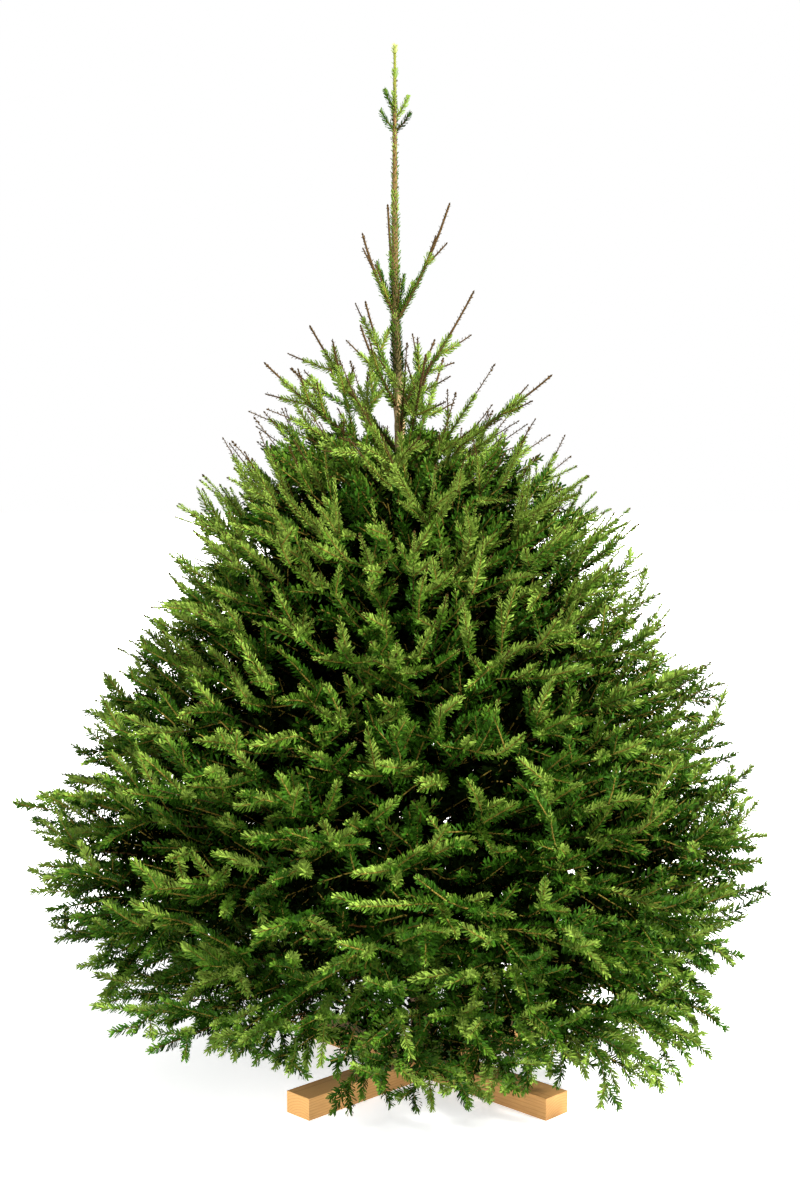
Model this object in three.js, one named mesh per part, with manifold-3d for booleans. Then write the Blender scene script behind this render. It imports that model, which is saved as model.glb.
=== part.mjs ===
// A cut Norway spruce sold as a Christmas tree, standing on a wooden cross.
//
// The trunk runs whole from its flat cut to the tip of the leader. Boughs leave it in whorls, and each
// bough ends inside the foliage that it carries. From the floor up the crown is:
//   skirt, lower, middle, upper    four dense tiers, each a ring of uneven foliage masses
//   spire, crest, crown            three open whorls of separate needle-clad shoots
//   leader                         the bare last years' growth of the trunk, with one small tuft
//
// Millimetres, +Z up. The origin is the centre of the underside of the cross, and the cross stands on
// the floor at z = 0. An azimuth of 0 points along +X and 90 along +Y.

import * as THREE from 'three';
import { mergeVertices } from 'three/addons/utils/BufferGeometryUtils.js';
import Module from 'manifold-3d';

const wasm = await Module();
wasm.setup();

// ---- driving dimensions ----

const TREE_HEIGHT = 1950;
const CLEARANCE = 0.3;
const CUT_BEYOND = 1;

// the cross: two sawn battens, half-lapped, with a bore that takes the spigot of the trunk
const BATTEN_LENGTH = 660;
const BATTEN_WIDTH = 60;
const BATTEN_HEIGHT = 40;
const BATTEN_AZIMUTHS = { stand_beam_lower: 45, stand_beam_upper: 135 };
const SPIGOT_RADIUS = 18;
const SPIGOT_LENGTH = 26;
const SPIGOT_OVERLAP = 10;
const SPIGOT_SIDES = 20;

// the trunk: leans to -X up to the last whorl, then stands upright
const TRUNK_BUTT_RADIUS = 27.5;
const TRUNK_TIP_RADIUS = 2.4;
const TRUNK_TAPER_POWER = 1.1;
const ROOT_FLARE = 5;
const ROOT_FLARE_HEIGHT = 45;
const LEAN_OFFSET = 59;
const LEAN_HEIGHT = 1480;
const TRUNK_WANDER = 3;
const TRUNK_WANDER_WAVES = 1.5;
const TRUNK_SIDES = 9;
const TRUNK_RINGS = 28;
const BARK_UNEVENNESS = 0.05;
const BARK_PLATE_RINGS = 2;

// the dense tiers, from the floor up. Each surface is the sheet that parts two tiers: its height at the
// trunk's axis, and its slope outwards.
const TIER_SURFACES = [
  { height: 112, slope: 0.06 },
  { height: 305, slope: 0.01 },
  { height: 482, slope: 0.2 },
  { height: 690, slope: 0.38 },
  { height: 1108, slope: 0.3 },
];
const TIERS = [
  { name: 'skirt', boughs: 5, firstAzimuth: -54, hollow: 205, whorl: 235, boughRadius: 10 },
  { name: 'lower', boughs: 5, firstAzimuth: -88, hollow: 190, whorl: 385, boughRadius: 10.5 },
  { name: 'middle', boughs: 5, firstAzimuth: -60, hollow: 160, whorl: 570, boughRadius: 9 },
  { name: 'upper', boughs: 4, firstAzimuth: -35, hollow: 84, whorl: 850, boughRadius: 8 },
];
const TIER_GAP = 12;
const SECTOR_GAP = 7;
const BOUGH_SOCKET = 40;
const BOUGH_BOW = 4;
const BOUGH_TAPER = 0.7;
const BOUGH_TURN = 5;
const WHORL_SPREAD = 12;

// how the sheets between tiers and the seams between masses wave, so that no two masses are alike
const SURFACE_WAVE = 11;
const SURFACE_LOBES = 3;
const SURFACE_TURN = 2;
const SEAM_WAVE = 0.045;
const WAVE_RADIUS = 150;
const WAVE_HEIGHT = 100;

// the crown's outline: how far the tips reach from the trunk's axis, by height
const OUTLINE = [
  { height: 60, reach: 520 },
  { height: 130, reach: 600 },
  { height: 200, reach: 672 },
  { height: 330, reach: 712 },
  { height: 480, reach: 736 },
  { height: 600, reach: 700 },
  { height: 730, reach: 624 },
  { height: 880, reach: 524 },
  { height: 1060, reach: 408 },
  { height: 1240, reach: 322 },
];
const OUTLINE_LEAN = 0.05;
const TIP_DEPTH = 62;
const LOBE_DEPTH = 0.09;
const LOBE_POWER = 3;
const EDGE_DEPTH = 0.035;

// the grid of one foliage mass: stations round the trunk, rows on its outer side, how far the first row
// stands clear of the floor in rows, and where its floor and roof bend, as shares of its reach
const MASS_STATIONS = 11;
const OUTER_ROWS = 5;
const ROW_INSET = 0.1;
const FLOOR_BEND = 0.55;
const ROOF_BEND = 0.6;
const INNER_UNEVENNESS = 9;

// the open whorls: azimuth and reach of each shoot's tip from the trunk, the height of its foot and of
// its tip, and the half width of its spray of needles
const SPIRE_SHOOTS = [
  { azimuth: 197, reach: 252, foot: 1156, tip: 1356, spray: 42 },
  { azimuth: 141, reach: 214, foot: 1178, tip: 1440, spray: 36 },
  { azimuth: 66, reach: 225, foot: 1158, tip: 1382, spray: 40 },
  { azimuth: -14, reach: 288, foot: 1152, tip: 1334, spray: 44 },
  { azimuth: -76, reach: 205, foot: 1166, tip: 1362, spray: 38 },
];
const CREST_SHOOTS = [
  { azimuth: -12, reach: 148, foot: 1262, tip: 1490, spray: 21 },
  { azimuth: 52, reach: 118, foot: 1282, tip: 1410, spray: 17 },
  { azimuth: 118, reach: 120, foot: 1284, tip: 1484, spray: 17 },
  { azimuth: 226, reach: 92, foot: 1258, tip: 1424, spray: 18 },
  { azimuth: -62, reach: 128, foot: 1250, tip: 1356, spray: 17 },
];
const CROWN_SHOOTS = [
  { azimuth: 203, reach: 64, foot: 1428, tip: 1596, spray: 13 },
  { azimuth: 100, reach: 78, foot: 1440, tip: 1664, spray: 13 },
  { azimuth: -25, reach: 110, foot: 1420, tip: 1648, spray: 15 },
];
const LIMB_SIDES = 6;
const LIMB_RINGS = 3;
const SPIRE_BOUGH_RADIUS = 6;
const SPIRE_BOUGH_TAPER = 0.6;
const SPIRE_BARE_SHARE = 0.34;
const SPIRE_SOCKET_SHARE = 0.1;
const SHOOT_SAG = 0.06;
const SHOOT_FOOT_RADIUS = 4.5;
const SHOOT_SIDES = 6;
const SHOOT_RINGS = 8;

// the spray of needles round a shoot: its fullest place is at half of SPRAY_SPAN of its length
const SPRAY_FOOT_RADIUS = 12;
const SPRAY_FLATNESS = 0.66;
const SPRAY_SPAN = 1.3;
const SPRAY_POWER = 1.1;
const SPRAY_TIP_POWER = 4;
const SPRAY_TIP_LEAST = 0.02;
const SPRAY_UNEVENNESS = 0.16;

// the tuft round the leader: lobes and the clefts between them, full at two thirds of its height
const TUFT = { foot: 1784, tip: 1862, reach: 22, lobes: 4, cleft: 0.62, rings: 5 };
const TUFT_FOOT_SHARE = 0.45;
const TUFT_SPAN = 0.75;

// ---- colours ----

const WOOD = { color: 0xc99a63, roughness: 0.72, metalness: 0 };
const BARK = { color: 0x7a5a3c, roughness: 0.9, metalness: 0 };
const NEEDLES = { color: 0x4f7a2b, roughness: 0.8, metalness: 0 };

// ---- small tools ----

// Which of the scatters a number belongs to.
const SCATTER = { turn: 7, whorl: 3, bark: 1, outer: 0.5, stationStride: 31 };

const radians = THREE.MathUtils.degToRad;
const lerp = THREE.MathUtils.lerp;

// An even, repeatable scatter between -1 and 1 for any three numbers.
function scatter(a, b, c) {
  const wave = Math.sin(a * 12.9898 + b * 78.233 + c * 37.719) * 43758.5453;
  return 2 * (wave - Math.floor(wave)) - 1;
}

// The unit vector that points outwards at an azimuth in radians.
function outward(azimuth) {
  return new THREE.Vector3(Math.cos(azimuth), Math.sin(azimuth), 0);
}

// A closed geometry from rings of equal length, with a fan over each end.
function geometryFromRings(rings) {
  const sides = rings[0].length;
  const triangles = [];
  for (let i = 0; i + 1 < rings.length; i += 1) {
    for (let j = 0; j < sides; j += 1) {
      const next = (j + 1) % sides;
      const lower = i * sides;
      const upper = lower + sides;
      triangles.push(lower + j, lower + next, upper + next);
      triangles.push(lower + j, upper + next, upper + j);
    }
  }
  const last = (rings.length - 1) * sides;
  for (let j = 1; j + 1 < sides; j += 1) {
    triangles.push(0, j + 1, j);
    triangles.push(last, last + j, last + j + 1);
  }
  const positions = rings.flat().flatMap((point) => point.toArray());
  const geometry = new THREE.BufferGeometry();
  geometry.setAttribute('position', new THREE.Float32BufferAttribute(positions, 3));
  geometry.setIndex(triangles);
  return geometry;
}

function toSolid(geometry) {
  const bare = geometry.clone();
  bare.deleteAttribute('normal');
  bare.deleteAttribute('uv');
  const merged = mergeVertices(bare);
  return new wasm.Manifold(new wasm.Mesh({
    numProp: 3,
    vertProperties: new Float32Array(merged.attributes.position.array),
    triVerts: new Uint32Array(merged.index.array),
  }));
}

function toGeometry(solid) {
  const mesh = solid.getMesh();
  const geometry = new THREE.BufferGeometry();
  geometry.setAttribute('position', new THREE.BufferAttribute(mesh.vertProperties, 3));
  geometry.setIndex(new THREE.BufferAttribute(mesh.triVerts, 1));
  return geometry;
}

const tree = new THREE.Group();

function addPiece(name, solid, finish) {
  const geometry = toGeometry(solid);
  geometry.computeVertexNormals();
  const mesh = new THREE.Mesh(geometry, new THREE.MeshStandardMaterial(finish));
  mesh.name = name;
  tree.add(mesh);
}

// ---- the trunk ----

function trunkAxis(z) {
  const lean = Math.min(z / LEAN_HEIGHT, 1);
  const wander = TRUNK_WANDER * Math.sin((2 * Math.PI * TRUNK_WANDER_WAVES * z) / TREE_HEIGHT);
  return new THREE.Vector3(-LEAN_OFFSET * lean, wander, z);
}

function trunkRadius(z) {
  const share = 1 - Math.min(z / TREE_HEIGHT, 1);
  const flare = ROOT_FLARE * Math.exp(-(z - BATTEN_HEIGHT) / ROOT_FLARE_HEIGHT);
  return TRUNK_TIP_RADIUS + (TRUNK_BUTT_RADIUS - TRUNK_TIP_RADIUS) * share ** TRUNK_TAPER_POWER + flare;
}

// The trunk above the cross, grown by an allowance so that it can also cut a clearance.
function trunkBody(allowance) {
  const foot = BATTEN_HEIGHT + CLEARANCE;
  const rings = [];
  for (let i = 0; i < TRUNK_RINGS; i += 1) {
    const z = lerp(foot, TREE_HEIGHT, i / (TRUNK_RINGS - 1));
    const ring = [];
    for (let j = 0; j < TRUNK_SIDES; j += 1) {
      const plate = Math.floor(i / BARK_PLATE_RINGS);
      const unevenness = 1 + BARK_UNEVENNESS * scatter(plate, j, SCATTER.bark);
      const radius = trunkRadius(z) * unevenness + allowance;
      ring.push(outward((2 * Math.PI * j) / TRUNK_SIDES).multiplyScalar(radius).add(trunkAxis(z)));
    }
    rings.push(ring);
  }
  return toSolid(geometryFromRings(rings));
}

function cylinder(radius, length) {
  return new THREE.CylinderGeometry(radius, radius, length, SPIGOT_SIDES).rotateX(Math.PI / 2);
}

function spigot() {
  const length = SPIGOT_LENGTH + SPIGOT_OVERLAP;
  const bottom = BATTEN_HEIGHT - SPIGOT_LENGTH + CLEARANCE;
  return toSolid(cylinder(SPIGOT_RADIUS, length).translate(0, 0, bottom + length / 2));
}

function addTrunk() {
  addPiece('trunk', trunkBody(0).add(spigot()), BARK);
}

// ---- the stand ----

function block(length, width, bottom, top) {
  return toSolid(new THREE.BoxGeometry(length, width, top - bottom).translate(0, 0, (top + bottom) / 2));
}

// One batten along X, with its half of the lap cut away and the bore for the spigot.
function batten(isUpper) {
  const lap = BATTEN_HEIGHT / 2;
  const lapLength = BATTEN_WIDTH + 2 * CLEARANCE;
  const wide = BATTEN_WIDTH + 2 * CUT_BEYOND;
  const notch = isUpper
    ? block(lapLength, wide, -CUT_BEYOND, lap + CLEARANCE / 2)
    : block(lapLength, wide, lap - CLEARANCE / 2, BATTEN_HEIGHT + CUT_BEYOND);
  const boreBottom = BATTEN_HEIGHT - SPIGOT_LENGTH;
  const boreLength = SPIGOT_LENGTH + CUT_BEYOND;
  const bore = cylinder(SPIGOT_RADIUS + CLEARANCE, boreLength);
  bore.translate(0, 0, boreBottom + boreLength / 2);
  return block(BATTEN_LENGTH, BATTEN_WIDTH, 0, BATTEN_HEIGHT).subtract(notch).subtract(toSolid(bore));
}

function addStand() {
  Object.entries(BATTEN_AZIMUTHS).forEach(([name, azimuth]) => {
    const solid = batten(name === 'stand_beam_upper');
    addPiece(name, solid, WOOD);
    tree.getObjectByName(name).rotation.z = radians(azimuth);
  });
}

// ---- limbs ----

// A limb from a foot to a tip. It bows up from its chord by the bow at its middle, or sags if that is less
// than zero.
function limbCurve(foot, tip, bow) {
  const middle = foot.clone().lerp(tip, 0.5);
  middle.z += 2 * bow;
  return new THREE.QuadraticBezierCurve3(foot, middle, tip);
}

// The solid swept along a curve. sizeAt gives the half width and half thickness at a share of the length.
function sweptSolid(curve, steps, sides, sizeAt, unevenSeed) {
  const rings = [];
  for (let i = 0; i <= steps; i += 1) {
    const share = i / steps;
    const centre = curve.getPoint(share);
    const along = curve.getTangent(share);
    const across = new THREE.Vector3(-along.y, along.x, 0).normalize();
    const above = along.clone().cross(across);
    const size = sizeAt(share);
    const ring = [];
    for (let j = 0; j < sides; j += 1) {
      const angle = (2 * Math.PI * j) / sides;
      const unevenness = unevenSeed ? 1 + SPRAY_UNEVENNESS * scatter(unevenSeed, i, j) : 1;
      ring.push(centre.clone()
        .addScaledVector(across, Math.cos(angle) * size.width * unevenness)
        .addScaledVector(above, Math.sin(angle) * size.thickness * unevenness));
    }
    rings.push(ring);
  }
  return toSolid(geometryFromRings(rings));
}

// A bare tapering limb, grown by an allowance so that it can also cut its own socket.
function bareLimb(curve, footRadius, endRadius, allowance) {
  const sizeAt = (share) => {
    const radius = lerp(footRadius, endRadius, share) + allowance;
    return { width: radius, thickness: radius };
  };
  return sweptSolid(curve, LIMB_RINGS, LIMB_SIDES, sizeAt, 0);
}

// ---- the dense tiers ----

// The crown's reach at a height and azimuth: the outline, a little longer on the side it leans to.
function crownReach(z, azimuth) {
  const last = OUTLINE.length - 2;
  const above = OUTLINE.findIndex((row) => row.height > z);
  const index = above < 0 ? last : THREE.MathUtils.clamp(above - 1, 0, last);
  const from = OUTLINE[index];
  const to = OUTLINE[index + 1];
  const share = (z - from.height) / (to.height - from.height);
  const side = 1 - OUTLINE_LEAN * (1 - z / TREE_HEIGHT) * Math.cos(azimuth);
  return lerp(from.reach, to.reach, share) * side;
}

// The height of the sheet under tier k, waved so that no two masses have the same floor.
function tierSurface(k, radius, azimuth) {
  const { height, slope } = TIER_SURFACES[k];
  const phase = SURFACE_LOBES * azimuth + radius / WAVE_RADIUS + SURFACE_TURN * k;
  return height + slope * radius + SURFACE_WAVE * Math.sin(phase);
}

// The azimuth at a share (0 to 1) of the way across a sector, clear of both neighbours.
function sectorAzimuth(tier, index, share, radius, z) {
  const width = (2 * Math.PI) / tier.boughs;
  const middle = radians(tier.firstAzimuth) + index * width;
  const clear = SECTOR_GAP / radius;
  const wave = SEAM_WAVE * Math.sin(z / WAVE_HEIGHT + radius / WAVE_RADIUS + tier.whorl);
  return middle + wave + (share - 0.5) * (width - 2 * clear);
}

// One uneven foliage mass: its section is a closed loop in the plane of an azimuth, and the sections
// stand side by side from one edge of the sector to the other. Its outer rows are drawn out in tips.
function foliageMass(k, index) {
  const tier = TIERS[k];
  const sections = [];
  for (let i = 0; i < MASS_STATIONS; i += 1) {
    const share = i / (MASS_STATIONS - 1);
    const fromMiddle = Math.abs(2 * share - 1);
    const lobe = 1 - LOBE_DEPTH * fromMiddle ** LOBE_POWER;
    const middleAzimuth = sectorAzimuth(tier, index, share, tier.hollow, tier.whorl);
    const floorAt = (radius) => tierSurface(k, radius, middleAzimuth) + TIER_GAP / 2;
    const roofAt = (radius) => tierSurface(k + 1, radius, middleAzimuth) - TIER_GAP / 2;
    const section = [];
    const place = (radius, z) => {
      const azimuth = sectorAzimuth(tier, index, share, radius, z);
      section.push(outward(azimuth).multiplyScalar(radius).add(trunkAxis(z).setZ(z)));
    };
    const inner = tier.hollow + INNER_UNEVENNESS * scatter(k, index, i);
    const outer = crownReach(floorAt(tier.hollow), middleAzimuth) * lobe - TIP_DEPTH;
    const onFloor = lerp(inner, outer, FLOOR_BEND);
    const onRoof = lerp(inner, outer, ROOF_BEND);
    place(inner, roofAt(inner));
    place(inner, floorAt(inner));
    place(onFloor, floorAt(onFloor));
    for (let row = 0; row < OUTER_ROWS; row += 1) {
      const rowShare = (row + ROW_INSET) / (OUTER_ROWS - 1 + 2 * ROW_INSET);
      const guess = lerp(floorAt(outer), roofAt(outer), rowShare);
      const station = SCATTER.stationStride * index + i;
      const depth = (TIP_DEPTH * (1 + scatter(k + SCATTER.outer, station, row))) / 2;
      const edge = 1 - EDGE_DEPTH * Math.abs(2 * rowShare - 1);
      const radius = crownReach(guess, middleAzimuth) * lobe * edge - depth;
      place(radius, lerp(floorAt(radius), roofAt(radius), rowShare));
    }
    place(onRoof, roofAt(onRoof));
    sections.push(section.reverse());
  }
  return toSolid(geometryFromRings(sections));
}

// The bough that carries a mass: from inside the trunk to the end of its socket in the mass.
function tierBoughCurve(k, index) {
  const tier = TIERS[k];
  const turn = radians(BOUGH_TURN) * scatter(k, index, SCATTER.turn);
  const azimuth = sectorAzimuth(tier, index, 0.5, tier.hollow, tier.whorl) + turn;
  const whorl = tier.whorl + WHORL_SPREAD * scatter(k, index, SCATTER.whorl);
  const foot = trunkAxis(whorl);
  const end = tier.hollow + BOUGH_SOCKET;
  const z = (tierSurface(k, end, azimuth) + tierSurface(k + 1, end, azimuth)) / 2;
  const tip = outward(azimuth).multiplyScalar(end).add(trunkAxis(z));
  return limbCurve(foot, tip, BOUGH_BOW);
}

function addTiers(trunkCutter) {
  TIERS.forEach((tier, k) => {
    for (let index = 0; index < tier.boughs; index += 1) {
      const curve = tierBoughCurve(k, index);
      const endRadius = BOUGH_TAPER * tier.boughRadius;
      const bough = bareLimb(curve, tier.boughRadius, endRadius, 0).subtract(trunkCutter);
      const socket = bareLimb(curve, tier.boughRadius, endRadius, CLEARANCE);
      const label = `${tier.name}_${index + 1}`;
      addPiece(`bough_${label}`, bough, BARK);
      addPiece(`foliage_${label}`, foliageMass(k, index).subtract(socket), NEEDLES);
    }
  });
}

// ---- the open whorls ----

function shootCurve(shoot) {
  const foot = trunkAxis(shoot.foot);
  const azimuth = radians(shoot.azimuth);
  const tip = outward(azimuth).multiplyScalar(shoot.reach).add(trunkAxis(shoot.tip));
  return limbCurve(foot, tip, -SHOOT_SAG * shoot.reach);
}

// The part of a limb's curve between two shares of its length.
function partOfCurve(curve, from, to) {
  const start = curve.getPoint(from);
  const end = curve.getPoint(to);
  const chordMiddle = start.clone().lerp(end, 0.5);
  const middle = curve.getPoint((from + to) / 2).multiplyScalar(2).sub(chordMiddle);
  return new THREE.QuadraticBezierCurve3(start, middle, end);
}

// A spray of needles round a shoot: thin at its foot, fullest past the middle, and drawn to a tip.
function spraySolid(curve, footRadius, spray, seed) {
  const sizeAt = (share) => {
    const swell = Math.sin(Math.PI * Math.min(share / SPRAY_SPAN, 1)) ** SPRAY_POWER;
    const close = Math.sqrt(Math.max(1 - share ** SPRAY_TIP_POWER, SPRAY_TIP_LEAST));
    const width = (footRadius + (spray - footRadius) * swell) * close;
    return { width, thickness: lerp(footRadius, SPRAY_FLATNESS * spray, swell) * close };
  };
  return sweptSolid(curve, SHOOT_RINGS, SHOOT_SIDES, sizeAt, seed);
}

// The spire's shoots are bare at the foot, so that each has a bough of its own.
function addSpire(trunkCutter) {
  SPIRE_SHOOTS.forEach((shoot, index) => {
    const curve = shootCurve(shoot);
    const limb = partOfCurve(curve, 0, SPIRE_BARE_SHARE + SPIRE_SOCKET_SHARE);
    const endRadius = SPIRE_BOUGH_TAPER * SPIRE_BOUGH_RADIUS;
    const bough = bareLimb(limb, SPIRE_BOUGH_RADIUS, endRadius, 0).subtract(trunkCutter);
    const socket = bareLimb(limb, SPIRE_BOUGH_RADIUS, endRadius, CLEARANCE);
    const needled = partOfCurve(curve, SPIRE_BARE_SHARE, 1);
    const spray = spraySolid(needled, SPRAY_FOOT_RADIUS, shoot.spray, index + 1);
    const label = `spire_${index + 1}`;
    addPiece(`bough_${label}`, bough, BARK);
    addPiece(`foliage_${label}`, spray.subtract(socket), NEEDLES);
  });
}

function addShoots(name, shoots, trunkCutter) {
  shoots.forEach((shoot, index) => {
    const seed = shoot.foot + index;
    const solid = spraySolid(shootCurve(shoot), SHOOT_FOOT_RADIUS, shoot.spray, seed);
    addPiece(`shoot_${name}_${index + 1}`, solid.subtract(trunkCutter), NEEDLES);
  });
}

// The small tuft of buds and short shoots round the leader.
function addTuft(trunkCutter) {
  const rings = [];
  for (let i = 0; i < TUFT.rings; i += 1) {
    const share = i / (TUFT.rings - 1);
    const z = lerp(TUFT.foot, TUFT.tip, share);
    const swell = lerp(TUFT_FOOT_SHARE, 1, Math.sin(Math.PI * TUFT_SPAN * share));
    const ring = [];
    for (let j = 0; j < 2 * TUFT.lobes; j += 1) {
      const lobe = j % 2 === 0 ? 1 : TUFT.cleft;
      const azimuth = (Math.PI * j) / TUFT.lobes;
      ring.push(outward(azimuth).multiplyScalar(TUFT.reach * swell * lobe).add(trunkAxis(z)));
    }
    rings.push(ring);
  }
  addPiece('leader_tuft', toSolid(geometryFromRings(rings)).subtract(trunkCutter), NEEDLES);
}

// ---- the whole tree ----

const trunkCutter = trunkBody(CLEARANCE);
addStand();
addTrunk();
addTiers(trunkCutter);
addSpire(trunkCutter);
addShoots('crest', CREST_SHOOTS, trunkCutter);
addShoots('crown', CROWN_SHOOTS, trunkCutter);
addTuft(trunkCutter);

export default tree;
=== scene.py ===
"""A cut Norway spruce on a wooden cross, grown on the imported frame.

Lengths are in metres in the row frame, +Z up. The limbs of the frame are grown on by a seeded rule:
each limb adds one shoot a year, and side shoots leave it at every year's node. The dense tiers' masses
are the crown that the shoots may not leave. Needles, twigs and buds are then built as joined meshes.
"""

import math
import random
from collections import namedtuple
from itertools import product

import bpy
import numpy as np
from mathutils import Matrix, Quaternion, Vector, noise
from mathutils.bvhtree import BVHTree
from mathutils.kdtree import KDTree


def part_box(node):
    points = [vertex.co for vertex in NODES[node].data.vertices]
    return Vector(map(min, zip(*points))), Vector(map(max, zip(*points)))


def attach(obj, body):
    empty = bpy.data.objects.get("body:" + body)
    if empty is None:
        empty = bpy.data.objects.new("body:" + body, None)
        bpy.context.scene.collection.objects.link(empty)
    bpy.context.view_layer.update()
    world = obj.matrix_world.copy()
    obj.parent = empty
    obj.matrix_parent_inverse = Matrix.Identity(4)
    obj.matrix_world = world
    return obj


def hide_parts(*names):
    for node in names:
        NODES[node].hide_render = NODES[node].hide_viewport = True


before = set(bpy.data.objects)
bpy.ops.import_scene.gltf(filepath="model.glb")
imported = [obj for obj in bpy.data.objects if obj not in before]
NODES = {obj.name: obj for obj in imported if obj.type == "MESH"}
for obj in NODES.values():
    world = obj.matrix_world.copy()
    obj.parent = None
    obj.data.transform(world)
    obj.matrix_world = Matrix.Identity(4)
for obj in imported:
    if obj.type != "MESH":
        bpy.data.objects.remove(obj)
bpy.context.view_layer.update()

SEED = 11
dice = random.Random(SEED)
numbers = np.random.default_rng(SEED)

UP = Vector((0, 0, 1))

# ---- driving values ----

# the crown's outline, and the depths under it at which needles grow coarser and their greens darker, as
# painted shade
OVERHANG = 0.03
HOLLOW_RADIUS = 0.21
SHELL_DEPTH = 0.075
INNER_DEPTH = 0.12
CORE_DEPTH = 0.18
OPEN_HEIGHT = 1.12
FLOOR_GAP = 0.04
OUTSIDE = 2.0
SHELL_AZIMUTHS = 72
SHELL_HEIGHTS = (0.06, 1.46, 0.02)

# the sprays stand out in lumps with pits between them, wider than they are high
LUMP_DEPTH = 0.10
LUMP_OUTWARD_SHARE = 0.35
LUMP_WIDTH = 0.17
LUMP_HEIGHT = 0.09
MEAN_REACH = 0.5
LEAN = -0.008

# the crown's lowest tips: higher on one side
LOW_EDGE = 0.125
LOW_EDGE_RISE = 0.055
LOW_EDGE_SIDE = math.radians(-165)
UNDERSIDE_REACH = 0.5
UNDERSIDE_SLOPE = 0.35
UNDERSIDE_REACHES = (0.44, 0.49, 0.54)

# above the dense tiers the crown's outline narrows to the open whorls
SPIRE_FOOT = 1.05
SPIRE_HEIGHTS = (1.05, 1.12, 1.20, 1.30, 1.40, 1.47)
SPIRE_REACHES = (0.412, 0.370, 0.318, 0.245, 0.170, 0.100)

# how growth changes with height: every tuple below has one value for each of these heights
HABIT_HEIGHTS = (0.12, 0.30, 0.50, 0.70, 0.90, 1.05, 1.20, 1.40)
SWELLINGS = (0.01, -0.025, -0.015, 0.03, 0.05, 0.032, -0.005, 0)
BOUGH_SLOPES = (-12, -2, 10, 19, 27, 35, 46, 58)
SHOOT_SLOPES = (-28, -2, 20, 29, 33, 36, 44, 56)
HABITS = {
    "lift": (-0.14, -0.05, 0.04, 0.09, 0.10, 0.11, 0.12, 0.10),
    "growth": (0.085, 0.088, 0.088, 0.088, 0.094, 0.108, 0.124, 0.130),
    "between_chance": (0.45, 0.45, 0.45, 0.45, 0.4, 0.28, 0.14, 0.12),
    "share": (0.86, 0.86, 0.86, 0.86, 0.84, 0.80, 0.72, 0.66),
    "angle": (54, 54, 54, 52, 48, 44, 40, 38),
    "bare_share": (0, 0, 0.09, 0.15, 0.24, 0.32, 0.36, 0.42),
}
GAPS = (0.0435, 0.046, 0.0465, 0.0455, 0.043, 0.042, 0.052, 0.075)
GAP_REACHES = (0.14, 0.14, 0.14, 0.14, 0.14, 0.16, 0.18, 0.18)
GAP_LENGTHS = (0.085, 0.085, 0.085, 0.085, 0.09, 0.105, 0.12, 0.13)
INSIDE_GAPS = (0.036, 0.036, 0.036, 0.035, 0.034, 0.034, 0.04, 0.045)
UPPER_HEIGHT = 0.75
UPRIGHT_HEIGHT = 1.1
PEG_HEIGHT = 1.18
LIGHT_HEIGHTS = (0.6, 1.2)
SIDE_ROLLS = (28, 55)
# added to a shoot's chance of a lighter green, more towards the top where more light falls: painted light
TOP_PAINTED_LIGHT = (0.0, 0.7)

# the spread of a limb's growth, and of its side shoots' angles (in degrees) and lengths
GROWTH_SPREAD = (0.82, 1.15)
ANGLE_SPREAD = (0.82, 1.12)
ROLL_KEPT = 0.6
MISSING_CHANCE = 0.06
NEARLY_UPRIGHT = 0.05
SIDE_YEARS = {1: 4, 2: 3}
SMALL_ORDER = 3
SMALL_SIZE = 0.7
UPPER_ANGLES = (24, 42)
UPPER_ROLL = 50
UPPER_SHARE = 0.8
BETWEEN_PLACES = (0.35, 0.68)
BETWEEN_ANGLE_SPREAD = (0.8, 1.2)
BETWEEN_ROLL = 40
BETWEEN_LENGTHS = (0.45, 0.75)

# the nearly bare end of a newest shoot
LEAST_BARE_SHARE = 0.05
MOST_BARE = 0.9
BARE_SPREAD = (0.7, 1.3)
BUDDING_SHARE = 0.18
LEAFY_WIDENING = 1.3
BARE_TAPER = 0.8
TWIG_TIP_RADIUS = 0.0007
TWIG_YEARLY_RADIUS = 0.00042

# how near to each other how many shoots may grow, by their depth in the crown
CROWDS = ((SHELL_DEPTH, 0.034, 2), (INNER_DEPTH, 0.045, 3), (math.inf, 0.06, 5))

# how far the vertices reach that are read as a limb's foot, middle or tip
FOOT_SLICE = 0.012
TIP_SLICE = 0.006
SHOOT_TIP_SLICE = 0.004
SHOOT_MIDDLE_SLICE = 0.02

# boughs of the dense tiers: where they end and how they rise from the trunk
BOUGH_COUNT = 190
CANDIDATES = 14
TIP_HEIGHTS = (0.15, 1.40)
TIP_BIAS = 1.1
SLOPE_SPREAD = 4
LOWEST_FOOT = 0.13
WHORL_SAG = 0.3
FILL_SAG = 0.35
LEAST_SAG = 0.01
BOUGH_ROLL = 18
YEARLY_ROLL = 12
BOUGH_TIP_SIZE = 1.3
BOUGH_TAPER = 1.3
WHORL_RADIUS = 0.0075
FILL_RADII = (0.0032, 0.0048)

# shoots that fill the gaps of the outline end below it, or stand out of it as spikes
GAP_DRAWS = 15000
GAP_HEIGHTS = (0.07, 1.28)
GAP_DEPTHS = (0.01, 0.05)
SPIKE_DEPTHS = (-0.025, 0.01)
SPIKE_CHANCE = 0.38
BRANCHED_CHANCE = 0.5
GAP_AIM = 0.72
GAP_BEND = 0.3
ONE_YEAR_REACH = 1.25
GAP_BETWEEN_GROWTH = 0.09
GAP_SIDE_GROWTH = 0.07

# shoots that fill the inside of the crown
INSIDE_DRAWS = 24000
INSIDE_HEIGHTS = (0.16, 1.24)
INSIDE_DEPTHS = (0.045, 0.32)
INSIDE_REACH = 0.05
INSIDE_BEND = 0.35

# which node a new shoot starts from: the least length and turn, and what a good direction is worth
LEAST_LENGTH = 0.045
LEAST_FORWARD = 0.3
FORWARD_WORTH = 0.02
AIM_WORTH = 0.08

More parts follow.
